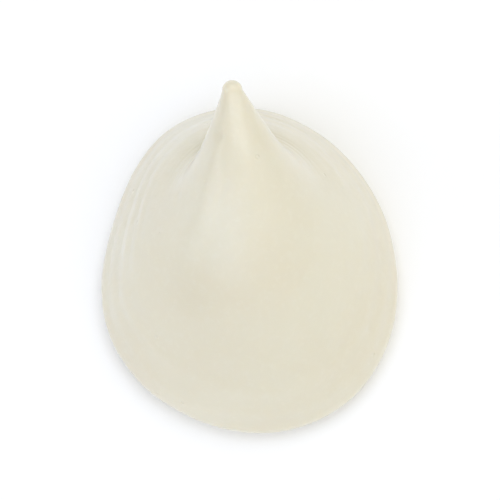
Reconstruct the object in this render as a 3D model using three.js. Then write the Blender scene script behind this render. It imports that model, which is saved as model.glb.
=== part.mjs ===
// Yogurt chip: one solid drop of ivory yogurt coating, let down on a flat surface so that its
// base is flat, its peak leans far over to one side and its small soft tip stands out past the edge.
// Millimetres, +Z up. The origin is the middle of the flat base, and the tip leans towards +Y.

import * as THREE from 'three';
import { mergeVertices } from 'three/addons/utils/BufferGeometryUtils.js';

// Driving dimensions
const bodyRadius = 5.32; // lower body, before its lower edge is rounded off
const baseRadius = 4.4; // flat face under the drop
const edgeHeight = 1.0; // of the rounded lower edge
const tipRadius = 0.36; // round end of the tip
const evenTaper = 4.3; // share of the radius, in mm, that is lost at an even rate up to the tip
const shoulderPower = 3.6; // higher keeps the lower body fuller
const neckPower = 4.5; // higher draws the neck in lower down

// Middle line of the drop, from the base to the centre of the tip's round end:
// how far out towards the lean, and how high
const lineStart = new THREE.Vector2(0, 0);
const lineStartPull = new THREE.Vector2(-0.3, 3.4);
const lineEndPull = new THREE.Vector2(2.1, 5.5);
const lineEnd = new THREE.Vector2(5.52, 6.6);

// Below the first share of the middle line the drop's slices lie level, and above the second
// share they stand square to the line
const levelUpTo = 0.27;
const squareFrom = 0.93;

// Headings are degrees round from +X, seen from above
const leanHeading = 96.6;
const bulgeHeading = 97.4; // the lower body is drawn out under the leaning tip
const bulgeShare = 0.225;
const bulgePower = 2.7;
const unevenWaves = [
  { count: 2, heading: 126, share: 0.0062 },
  { count: 3, heading: 69, share: 0.0092 },
  { count: 4, heading: 25, share: 0.0121 },
  { count: 5, heading: 47, share: 0.0052 },
];
const unevenFadeStart = 0.2; // shares of the middle line between which the drop turns round
const unevenFadeEnd = 0.8;

// Fineness of the mesh
const segmentsAround = 64;
const baseRings = 3;
const edgeRings = 7;
const flankRings = 30;
const tipRings = 4;

const ivory = '#e3dfcd';

const middleLine = new THREE.CubicBezierCurve(lineStart, lineStartPull, lineEndPull, lineEnd);
const lineLength = middleLine.getLength();

function smooth(value, low, high) {
  return THREE.MathUtils.smoothstep(value, low, high);
}

// Radius of the upright drop at a height along its middle line
function dropRadius(height) {
  const share = height / lineLength;
  const drawnIn = (1 - share ** shoulderPower) ** neckPower;
  const flank = tipRadius + evenTaper * (1 - share) + (bodyRadius - tipRadius - evenTaper) * drawnIn;
  const belowEdge = Math.max(1 - height / edgeHeight, 0);
  const roundedOff = 1 - Math.sqrt(1 - belowEdge ** 2);
  return flank - (bodyRadius - baseRadius) * roundedOff;
}

// Outline of the upright drop, from the middle of its base to the top of its tip
function uprightOutline() {
  const outline = [];
  for (let ring = 0; ring < baseRings; ring++) {
    outline.push(new THREE.Vector2((baseRadius * ring) / baseRings, 0));
  }
  for (let ring = 0; ring < edgeRings; ring++) {
    const height = edgeHeight * (1 - Math.cos((Math.PI / 2) * (ring / edgeRings)));
    outline.push(new THREE.Vector2(dropRadius(height), height));
  }
  for (let ring = 0; ring < flankRings; ring++) {
    const height = edgeHeight + (lineLength - edgeHeight) * (ring / flankRings);
    outline.push(new THREE.Vector2(dropRadius(height), height));
  }
  for (let ring = 0; ring <= tipRings; ring++) {
    const turn = (Math.PI / 2) * (ring / tipRings);
    const reach = ring === tipRings ? 0 : tipRadius * Math.cos(turn);
    outline.push(new THREE.Vector2(reach, lineLength + tipRadius * Math.sin(turn)));
  }
  return outline;
}

// How much wider or narrower than round the drop is, on one heading at one height
function outOfRound(heading, share) {
  const offBulge = Math.cos(heading - THREE.MathUtils.degToRad(bulgeHeading));
  let change = bulgeShare * Math.max(offBulge, 0) ** bulgePower;
  for (const wave of unevenWaves) {
    change += wave.share * Math.cos(wave.count * (heading - THREE.MathUtils.degToRad(wave.heading)));
  }
  return 1 + change * (1 - smooth(share, unevenFadeStart, unevenFadeEnd));
}

// Moves a point of the upright drop to its place on the leaning one
function leanOver(point) {
  const share = THREE.MathUtils.clamp(point.z / lineLength, 0, 1);
  const pastEnd = Math.max(point.z - lineLength, 0);
  const heading = Math.atan2(point.y, point.x);
  const reach = Math.hypot(point.x, point.y) * outOfRound(heading, share);

  const centre = middleLine.getPointAt(share);
  const tangent = middleLine.getTangentAt(share);
  const slope = Math.atan2(tangent.x, tangent.y);
  const tilt = slope * smooth(share, levelUpTo, squareFrom);

  const lean = THREE.MathUtils.degToRad(leanHeading);
  const along = reach * Math.cos(heading - lean);
  const across = reach * Math.sin(heading - lean);
  const out = centre.x + along * Math.cos(tilt) + pastEnd * Math.sin(tilt);
  const up = centre.y - along * Math.sin(tilt) + pastEnd * Math.cos(tilt);
  return point.set(
    out * Math.cos(lean) - across * Math.sin(lean),
    out * Math.sin(lean) + across * Math.cos(lean),
    up,
  );
}

function makeChip() {
  const turned = new THREE.LatheGeometry(uprightOutline(), segmentsAround);
  turned.rotateX(Math.PI / 2);
  turned.deleteAttribute('normal');
  turned.deleteAttribute('uv');
  const geometry = mergeVertices(turned);
  const position = geometry.getAttribute('position');
  const point = new THREE.Vector3();
  for (let i = 0; i < position.count; i++) {
    leanOver(point.fromBufferAttribute(position, i));
    position.setXYZ(i, point.x, point.y, point.z);
  }
  geometry.computeVertexNormals();
  const material = new THREE.MeshStandardMaterial({ color: ivory, roughness: 0.45, metalness: 0 });
  const chip = new THREE.Mesh(geometry, material);
  chip.name = 'chip';
  return chip;
}

const group = new THREE.Group();
group.add(makeChip());

export default group;
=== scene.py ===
# One yogurt chip on a pale table: a drop of ivory coating whose peak leans far over.
# Sizes are in millimetres, and mm turns them to metres where Blender takes them.
import math

import bpy
import numpy as np
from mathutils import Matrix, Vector, noise


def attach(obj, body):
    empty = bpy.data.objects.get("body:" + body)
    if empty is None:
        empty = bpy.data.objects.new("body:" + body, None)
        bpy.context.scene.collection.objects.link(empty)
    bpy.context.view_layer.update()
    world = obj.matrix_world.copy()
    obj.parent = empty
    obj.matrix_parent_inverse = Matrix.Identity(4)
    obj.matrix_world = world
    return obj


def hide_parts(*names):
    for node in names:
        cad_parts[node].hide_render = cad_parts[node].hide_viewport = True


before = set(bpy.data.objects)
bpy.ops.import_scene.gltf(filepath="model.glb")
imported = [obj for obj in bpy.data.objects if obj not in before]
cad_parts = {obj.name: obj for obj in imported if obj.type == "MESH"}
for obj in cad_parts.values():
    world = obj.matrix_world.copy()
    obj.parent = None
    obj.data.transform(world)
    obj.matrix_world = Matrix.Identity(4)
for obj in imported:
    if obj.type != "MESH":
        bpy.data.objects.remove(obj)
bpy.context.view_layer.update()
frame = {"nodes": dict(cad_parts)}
mm = 0.001
print("frame loaded:", ", ".join(frame["nodes"]))


# The drop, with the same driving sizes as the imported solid
drop = {
    "bodyRadius": 5.32,  # lower body, before its lower edge is rounded off
    "baseRadius": 4.4,  # flat face under the drop
    "edgeHeight": 1.0,  # of the rounded lower edge
    "tipRadius": 0.36,
    "evenTaper": 4.3,  # lost evenly from the base to the tip, the rest by the two powers
    "shoulderPower": 3.6,
    "neckPower": 4.5,
    "middleLine": [(0, 0), (-0.3, 3.4), (2.1, 5.5), (5.52, 6.6)],  # out towards the lean, up
    "levelUpTo": 0.27,  # slices lie level up to this share of the middle line
    "squareFrom": 0.93,  # and stand square to it from this one
    "leanHeading": 96.6,  # degrees round from +X
    "bulgeHeading": 97.4,
    "bulgeShare": 0.225,
    "bulgePower": 2.7,
    "unevenWaves": [  # how many go round, heading in degrees, share of the radius
        (2, 126, 0.0062),
        (3, 69, 0.0092),
        (4, 25, 0.0121),
        (5, 47, 0.0052),
    ],
    "unevenFade": (0.2, 0.8),  # shares of the middle line between which bulge and waves die out
    "segmentsAround": 384,
    "baseRings": 40,
    "edgeRings": 18,
    "flankRings": 132,
    "tipRings": 9,
}


def smooth(value, low, high):
    share = np.clip((value - low) / (high - low), 0, 1)
    return share * share * (3 - 2 * share)


def sampleMiddleLine(samples=4000):
    t = np.linspace(0, 1, samples)[:, None]
    start, startPull, endPull, end = [np.array(p, float) for p in drop["middleLine"]]
    place = ((1 - t) ** 3 * start + 3 * (1 - t) ** 2 * t * startPull
             + 3 * (1 - t) * t ** 2 * endPull + t ** 3 * end)
    steps = np.diff(place, axis=0)
    length = np.concatenate([[0], np.cumsum(np.hypot(steps[:, 0], steps[:, 1]))])
    slope = np.arctan2(np.gradient(place[:, 0]), np.gradient(place[:, 1]))
    return place, slope, length


linePlace, lineSlope, lineAt = sampleMiddleLine()
lineLength = lineAt[-1]


def dropRadius(height):
    share = height / lineLength
    drawnIn = (1 - share ** drop["shoulderPower"]) ** drop["neckPower"]
    flank = (drop["tipRadius"] + drop["evenTaper"] * (1 - share)
             + (drop["bodyRadius"] - drop["tipRadius"] - drop["evenTaper"]) * drawnIn)
    belowEdge = np.maximum(1 - height / drop["edgeHeight"], 0)
    return flank - (drop["bodyRadius"] - drop["baseRadius"]) * (1 - np.sqrt(1 - belowEdge ** 2))


def quarterTurns(count):
    return [math.pi / 2 * i / count for i in range(count)]


def uprightRings():
    # height and radius of each ring, from the middle of the base to the top of the tip
    base = [(0, drop["baseRadius"] * i / drop["baseRings"]) for i in range(drop["baseRings"])]
    edgeHeights = [drop["edgeHeight"] * (1 - math.cos(turn)) for turn in quarterTurns(drop["edgeRings"])]
    flankHeights = list(np.linspace(drop["edgeHeight"], lineLength, drop["flankRings"], endpoint=False))
    side = [(h, float(dropRadius(h))) for h in edgeHeights + flankHeights]
    tip = [(lineLength + drop["tipRadius"] * math.sin(turn), drop["tipRadius"] * math.cos(turn))
           for turn in quarterTurns(drop["tipRings"])]
    tip.append((lineLength + drop["tipRadius"], 0))
    rings = np.array(base + side + tip)
    return rings[:, :1], rings[:, 1:]


def leanOver(height, radius, heading):
    share = np.clip(height / lineLength, 0, 1)
    pastEnd = np.maximum(height - lineLength, 0)
    offBulge = np.cos(heading - math.radians(drop["bulgeHeading"]))
    change = drop["bulgeShare"] * np.maximum(offBulge, 0) ** drop["bulgePower"]
    for count, waveHeading, waveShare in drop["unevenWaves"]:
        change = change + waveShare * np.cos(count * (heading - math.radians(waveHeading)))
    reach = radius * (1 + change * (1 - smooth(share, *drop["unevenFade"])))

    at = share * lineLength
    centreOut = np.interp(at, lineAt, linePlace[:, 0])
    centreUp = np.interp(at, lineAt, linePlace[:, 1])
    tilt = np.interp(at, lineAt, lineSlope) * smooth(share, drop["levelUpTo"], drop["squareFrom"])
    lean = math.radians(drop["leanHeading"])
    along = reach * np.cos(heading - lean)
    across = reach * np.sin(heading - lean)
    out = centreOut + along * np.cos(tilt) + pastEnd * np.sin(tilt)
    up = centreUp - along * np.sin(tilt) + pastEnd * np.cos(tilt)
    x = out * math.cos(lean) - across * math.sin(lean)
    y = out * math.sin(lean) + across * math.cos(lean)
    return np.stack([x, y, np.broadcast_to(up, x.shape)], axis=-1)


# What the melt left on it as it was let down, leaned over and set. A pair under Start or End
# holds the values between which that relief comes in or dies out.
relief = {
    "lumpSize": 3.4, "lumpHeight": 0.06,
    "dimpleSize": 1.3, "dimpleHeight": 0.02,
    "ringSpacing": 0.95, "ringHeight": 0.018,  # faint rings parallel to the lower edge
    "ringStart": (0.6, 1.4), "ringEnd": (3, 5.2),  # along the skin from the foot
    "ringWander": 0.35, "ringWanderSize": 2.6,
    "ringStrength": (0.6, 0.6), "ringPatchSize": 2.2,  # strength in the middle and its swing
    "foldSpacing": 0.5, "foldHeight": 0.012,  # creases inside the bend, under the leaning tip
    "foldWander": 0.5,  # of the rings' wander
    "foldStart": (0.42, 0.6), "foldEnd": (0.8, 0.93),  # shares of the middle line
    "grooveCount": 5, "grooveHeight": 0.008,  # drawn up the neck as the nozzle left
    "grooveTurn": 0.9, "grooveSway": 2.5, "grooveSwaySize": 1.6,
    "grooveStart": (0.55, 0.8), "grooveEnd": (0.93, 1),  # shares of the middle line
    "footGroove": 0.02, "footHeight": 0.16, "footWidth": 0.096,  # where the edge meets the flat face
    "footStrength": (0.7, 0.5), "footPatchSize": 1.1,
    "hollowDepth": 0.05, "hollowEnd": (0.15, 0.9),  # in the flat face, in shares of its radius
    "beltGrain": 0.006, "beltGrainSize": 0.3, "beltGrainEnd": (0.8, 0.98),
    "pitCount": 22, "pitSeed": 7,
    "pitWidth": (0.12, 0.26), "pitShape": (0.08, 0.2),  # depth as a share of the width
    "ringsClearOfFoot": 8, "ringsClearOfTop": 12,  # mesh rings without the middle of a pit
}


def softNoise(points, size, seed):
    # smooth lumps of about that size, from -1 to 1
    shift = Vector((seed * 17.3, seed * 5.1, seed * 9.7))
    flat = points.reshape(-1, 3) / size
    values = [noise.noise(Vector(p) + shift) for p in flat]
    return np.array(values).reshape(points.shape[:-1])


def between(value, start, end):
    return smooth(value, *start) * (1 - smooth(value, *end))


def surfaceNormals(points):
    alongFlank = np.gradient(points, axis=0)
    around = np.roll(points, -1, axis=1) - np.roll(points, 1, axis=1)
    normals = np.cross(around, alongFlank)
    size = np.linalg.norm(normals, axis=-1, keepdims=True)
    normals = normals / np.maximum(size, 1e-9)
    normals[0] = (0, 0, -1)
    normals[-1] = normals[-2].mean(axis=0) / np.linalg.norm(normals[-2].mean(axis=0))
    return normals


def baseRelief(points):
    fromMiddle = np.hypot(points[..., 0], points[..., 1]) / drop["baseRadius"]
    hollow = relief["hollowDepth"] * (1 - smooth(fromMiddle, *relief["hollowEnd"]))
    grain = relief["beltGrain"] * (1 + softNoise(points, relief["beltGrainSize"], 8))
    grain *= 1 - smooth(fromMiddle, *relief["beltGrainEnd"])
    return -hollow - grain


def flankRelief(points, height, heading):
    share = np.broadcast_to(np.clip(height / lineLength, 0, 1), points.shape[:2])
    steps = np.linalg.norm(np.diff(points, axis=0), axis=-1).mean(axis=1)
    travelled = np.concatenate([[0], np.cumsum(steps)])[:, None]
    fromFoot = np.broadcast_to(travelled - travelled[drop["baseRings"]], points.shape[:2])
    lean = math.radians(drop["leanHeading"])

    out = relief["lumpHeight"] * softNoise(points, relief["lumpSize"], 1)
    out += relief["dimpleHeight"] * softNoise(points, relief["dimpleSize"], 2)

    wander = relief["ringWander"] * softNoise(points, relief["ringWanderSize"], 3)
    middle, swing = relief["ringStrength"]
    strength = middle + swing * softNoise(points, relief["ringPatchSize"], 4)
    rings = np.cos(2 * math.pi * (fromFoot + wander) / relief["ringSpacing"]) * strength
    out += relief["ringHeight"] * rings * between(fromFoot, relief["ringStart"], relief["ringEnd"])

    inside = np.maximum(np.cos(heading - lean), 0) ** 2
    folds = np.cos(2 * math.pi * (fromFoot + relief["foldWander"] * wander) / relief["foldSpacing"])
    out += relief["foldHeight"] * folds * inside * between(share, relief["foldStart"], relief["foldEnd"])

    sway = relief["grooveSway"] * softNoise(points, relief["grooveSwaySize"], 5)
    twist = relief["grooveCount"] * (heading + relief["grooveTurn"] * share) + sway
    onNeck = between(share, relief["grooveStart"], relief["grooveEnd"])
    out += relief["grooveHeight"] * np.cos(twist) * onNeck

    middle, swing = relief["footStrength"]
    strength = middle + swing * softNoise(points, relief["footPatchSize"], 6)
    nearFoot = (height - relief["footHeight"]) / relief["footWidth"]
    return out - relief["footGroove"] * np.exp(-nearFoot ** 2) * strength


def airPits(points):
    # shallow dents left by air bubbles, as depth at each point
    draw = np.random.default_rng(relief["pitSeed"])
    depth = np.zeros(points.shape[:2])
    lowRing = drop["baseRings"] + relief["ringsClearOfFoot"]
    topRing = len(points) - relief["ringsClearOfTop"]
    for _ in range(relief["pitCount"]):
        ring = int(draw.uniform(lowRing, topRing))
        column = int(draw.uniform(0, drop["segmentsAround"]))
        wide = draw.uniform(*relief["pitWidth"])
        deep = wide * draw.uniform(*relief["pitShape"])
        away = np.linalg.norm(points - points[ring, column], axis=-1)
        depth += deep * np.exp(-(away / wide) ** 2)
    return depth


def makeChip():
    height, radius = uprightRings()
    heading = 2 * math.pi * np.arange(drop["segmentsAround"])[None, :] / drop["segmentsAround"]
    plain = leanOver(height, radius, heading)
    out = np.where(height <= 0, baseRelief(plain), flankRelief(plain, height, heading))
    points = plain + surfaceNormals(plain) * (out - airPits(plain))[..., None]
    points[..., 2] = np.maximum(points[..., 2], 0)

    # the first and the last ring are one point each
    rings, around = points.shape[:2]
    middle = points[1:-1].reshape(-1, 3)
    vertices = np.concatenate([points[:1, 0], middle, points[-1:, 0]]) * mm
    last = len(vertices) - 1
    topRow = 1 + (rings - 3) * around
    faces = []
    for i in range(around):
        j = (i + 1) % around
        faces.append((0, 1 + j, 1 + i))
        for ring in range(rings - 3):
            low = 1 + ring * around
            high = low + around
            faces.append((low + i, low + j, high + j, high + i))
        faces.append((topRow + i, topRow + j, last))
    mesh = bpy.data.meshes.new("chipSkin")
    mesh.from_pydata(vertices.tolist(), [], faces)
    mesh.shade_smooth()
    mesh.validate()
    chip = bpy.data.objects.new("chipSkin", mesh)
    bpy.context.collection.objects.link(chip)
    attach(chip, "root")
    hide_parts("chip")
    return chip


chip = makeChip()
print("chip made:", len(chip.data.vertices), "points")


def toLinear(hexColour):
    channels = [int(hexColour[i:i + 2], 16) / 255 for i in (1, 3, 5)]
    return [c / 12.92 if c <= 0.04045 else ((c + 0.055) / 1.055) ** 2.4 for c in channels] + [1]


def addNode(tree, kind, settings=None, inputs=None):
    node = tree.nodes.new(kind)
    for name, value in (settings or {}).items():
        setattr(node, name, value)
    for name, value in (inputs or {}).items():
        if isinstance(value, bpy.types.NodeSocket):
            tree.links.new(value, node.inputs[name])
        else:
            node.inputs[name].default_value = value
    return node


# Yogurt coating: sugar, palm fat and milk powder, dropped warm and set in still air. That gives a
# waxy satin skin, and light goes about half a millimetre in, which softens every shade.
coating = {
    "cream": "#e4dfca",
    "deepCream": "#e2dbc4",
    "bloom": "#ebe8d7",
    "toneSize": 2.9,
    "toneSeed": 4.6,  # which cut of the noise, so where the deeper patches lie
    "bloomSize": 0.22,
    "bloomNoise": (0.5, 0.8),  # noise values between which a speck shows
    "bloomStrength": 0.24,
    "roughness": (0.29, 0.38),
    "roughnessSize": 0.9,
    "skinSize": 0.55,
    "skinHeight": 0.012,
    "pinholeSpacing": 0.8,
    "pinholeRadius": 0.09,
    "pinholeFloor": 0.4,  # share of that radius that is level
    "pinholeShare": 0.3,  # of the cells of that spacing
    "pinholeDepth": 0.018,
    "grainSize": 0.09,  # milk powder is nearer 0.03, too fine to show at this distance
    "grainHeight": 0.002,
    "ior": 1.46,
    "waxCoat": 0.55,  # a thin layer of fat on top
    "waxRoughness": 0.18,
    "lightShare": 0.8,  # of the colour that comes from under the skin
    "lightDepth": 0.4,
    "lightDepthRatio": (1.0, 0.9, 0.75),  # of red, green and blue: red goes deepest
}
noiseSpan = (0.35, 0.65)  # nearly all of a noise texture lies between these
firstColour, secondColour, mixedColour = 6, 7, 2  # sockets of a mix of two colours


def makeCoating():
    material = bpy.data.materials.new("yogurtCoatingSetInAir")
    material.use_nodes = True
    tree = material.node_tree
    tree.nodes.clear()
    place = addNode(tree, "ShaderNodeTexCoord").outputs["Object"]

    tones = addNode(tree, "ShaderNodeTexNoise", {"noise_dimensions": "4D"}, {
        "Vector": place, "W": coating["toneSeed"], "Scale": 1 / (coating["toneSize"] * mm),
        "Detail": 3, "Roughness": 0.5})
    toneShare = addNode(tree, "ShaderNodeMapRange", {}, {
        "Value": tones.outputs["Fac"], "From Min": noiseSpan[0], "From Max": noiseSpan[1]})
    cream = addNode(tree, "ShaderNodeMix", {"data_type": "RGBA"}, {
        "Factor": toneShare.outputs["Result"],
        firstColour: toLinear(coating["cream"]), secondColour: toLinear(coating["deepCream"])})

    # whitish specks where a little fat has come to the surface
    specks = addNode(tree, "ShaderNodeTexNoise", {}, {
        "Vector": place, "Scale": 1 / (coating["bloomSize"] * mm), "Detail": 2, "Roughness": 0.6})
    speckShare = addNode(tree, "ShaderNodeMapRange", {}, {
        "Value": specks.outputs["Fac"], "From Min": coating["bloomNoise"][0],
        "From Max": coating["bloomNoise"][1], "To Max": coating["bloomStrength"]})
    colour = addNode(tree, "ShaderNodeMix", {"data_type": "RGBA"}, {
        "Factor": speckShare.outputs["Result"],
        firstColour: cream.outputs[mixedColour], secondColour: toLinear(coating["bloom"])})

    dull = addNode(tree, "ShaderNodeTexNoise", {}, {
        "Vector": place, "Scale": 1 / (coating["roughnessSize"] * mm), "Detail": 2})
    roughness = addNode(tree, "ShaderNodeMapRange", {}, {
        "Value": dull.outputs["Fac"], "From Min": noiseSpan[0], "From Max": noiseSpan[1],
        "To Min": coating["roughness"][0], "To Max": coating["roughness"][1]})

    skin = addNode(tree, "ShaderNodeTexNoise", {}, {
        "Vector": place, "Scale": 1 / (coating["skinSize"] * mm), "Detail": 2})
    skinBump = addNode(tree, "ShaderNodeBump", {}, {
        "Height": skin.outputs["Fac"], "Distance": coating["skinHeight"] * mm, "Strength": 1.0})
    # air bubbles that broke as the skin set
    cells = addNode(tree, "ShaderNodeTexVoronoi", {}, {
        "Vector": place, "Scale": 1 / (coating["pinholeSpacing"] * mm)})
    radius = coating["pinholeRadius"] / coating["pinholeSpacing"]
    hole = addNode(tree, "ShaderNodeMapRange", {"interpolation_type": "SMOOTHSTEP"}, {
        "Value": cells.outputs["Distance"],
        "From Min": coating["pinholeFloor"] * radius, "From Max": radius})
    lot = addNode(tree, "ShaderNodeSeparateColor", {}, {"Color": cells.outputs["Color"]}).outputs["Red"]
    noHole = addNode(tree, "ShaderNodeMath", {"operation": "GREATER_THAN"}, {
        0: lot, 1: coating["pinholeShare"]})
    level = addNode(tree, "ShaderNodeMath", {"operation": "MAXIMUM"}, {
        0: hole.outputs["Result"], 1: noHole.outputs["Value"]})
    holeBump = addNode(tree, "ShaderNodeBump", {}, {
        "Height": level.outputs["Value"], "Distance": coating["pinholeDepth"] * mm, "Strength": 1.0,
        "Normal": skinBump.outputs["Normal"]})
    grain = addNode(tree, "ShaderNodeTexNoise", {}, {
        "Vector": place, "Scale": 1 / (coating["grainSize"] * mm), "Detail": 2, "Roughness": 0.6})
    grainBump = addNode(tree, "ShaderNodeBump", {}, {
        "Height": grain.outputs["Fac"], "Distance": coating["grainHeight"] * mm, "Strength": 1.0,
        "Normal": holeBump.outputs["Normal"]})

    shader = addNode(tree, "ShaderNodeBsdfPrincipled", {"subsurface_method": "RANDOM_WALK"}, {
        "Base Color": colour.outputs[mixedColour],
        "Roughness": roughness.outputs["Result"],
        "Normal": grainBump.outputs["Normal"],
        "IOR": coating["ior"],
        "Coat Weight": coating["waxCoat"],
        "Coat Roughness": coating["waxRoughness"],
        "Subsurface Weight": coating["lightShare"],
        "Subsurface Radius": coating["lightDepthRatio"],
        "Subsurface Scale": coating["lightDepth"] * mm,
    })
    addNode(tree, "ShaderNodeOutputMaterial", {}, {"Surface": shader.outputs["BSDF"]})
    return material


chip.data.materials.append(makeCoating())
print("coating made")


# Pale table, a white sky that is brighter overhead, in front and on the right, three soft boxes,
# and a camera almost straight above
studio = {
    "tableColour": "#fefefd",
    "tableSize": 900,
    "tableRoughness": 0.7,
    "tableShine": 0.2,
    "skyColour": "#f8f7f3",
    "skyStrength": 0.48,
    "skyLean": (0.28, -0.22, 0.49),  # how much stronger it is toward +X, +Y and +Z
    "boxes": {  # where each stands, its size, watts and colour
        "frontBox": ((-140, -170, 240), 260, 0.17, "#b4c8ff"),
        "backBox": ((10, 150, 285), 270, 0.32, "#f0f4ff"),
        "leftBox": ((-285, -40, 140), 195, 0.15, "#edf2ff"),
    },
    "cameraElevation": 80,
    "cameraDistance": 300,
    "cameraSees": (10, 5000),  # nearest and farthest
    "aimAt": (-0.05, 0.75, 3.2),
    "viewWidth": 16.6,
    "sensorWidth": 36,
}


def makeTable():
    half = studio["tableSize"] / 2 * mm
    mesh = bpy.data.meshes.new("table")
    corners = [(-half, -half, 0), (half, -half, 0), (half, half, 0), (-half, half, 0)]
    mesh.from_pydata(corners, [], [(0, 1, 2, 3)])
    table = bpy.data.objects.new("table", mesh)
    bpy.context.collection.objects.link(table)
    material = bpy.data.materials.new("tableLacquerSprayed")
    material.use_nodes = True
    shader = material.node_tree.nodes["Principled BSDF"]
    shader.inputs["Base Color"].default_value = toLinear(studio["tableColour"])
    shader.inputs["Roughness"].default_value = studio["tableRoughness"]
    shader.inputs["Specular IOR Level"].default_value = studio["tableShine"]
    mesh.materials.append(material)


def makeLight():
    sky = bpy.data.worlds.new("sky")
    bpy.context.scene.world = sky
    sky.use_nodes = True
    background = sky.node_tree.nodes["Background"]
    background.inputs["Color"].default_value = toLinear(studio["skyColour"])
    toward = addNode(sky.node_tree, "ShaderNodeTexCoord").outputs["Generated"]
    lean = addNode(sky.node_tree, "ShaderNodeVectorMath", {"operation": "DOT_PRODUCT"}, {
        0: toward, 1: studio["skyLean"]})
    strength = addNode(sky.node_tree, "ShaderNodeMath", {"operation": "ADD"}, {
        0: lean.outputs["Value"], 1: studio["skyStrength"]})
    sky.node_tree.links.new(strength.outputs["Value"], background.inputs["Strength"])

    for name, (place, size, watts, colour) in studio["boxes"].items():
        lamp = bpy.data.lights.new(name, "AREA")
        lamp.size = size * mm
        lamp.energy = watts
        lamp.color = toLinear(colour)[:3]
        box = bpy.data.objects.new(name, lamp)
        box.location = Vector(place) * mm
        box.rotation_euler = (-box.location).to_track_quat("-Z", "Y").to_euler()
        bpy.context.collection.objects.link(box)


def makeCamera():
    lens = bpy.data.cameras.new("camera")
    lens.sensor_width = studio["sensorWidth"]
    lens.lens = studio["sensorWidth"] * studio["cameraDistance"] / studio["viewWidth"]
    lens.clip_start, lens.clip_end = [distance * mm for distance in studio["cameraSees"]]
    camera = bpy.data.objects.new("camera", lens)
    elevation = math.radians(studio["cameraElevation"])
    back = Vector((0, -math.cos(elevation), math.sin(elevation)))
    camera.location = (Vector(studio["aimAt"]) + back * studio["cameraDistance"]) * mm
    camera.rotation_euler = (-back).to_track_quat("-Z", "Y").to_euler()
    bpy.context.collection.objects.link(camera)
    bpy.context.scene.camera = camera


makeTable()
makeLight()
makeCamera()
bpy.context.scene.view_settings.view_transform = "Standard"
print("table, light and camera placed")
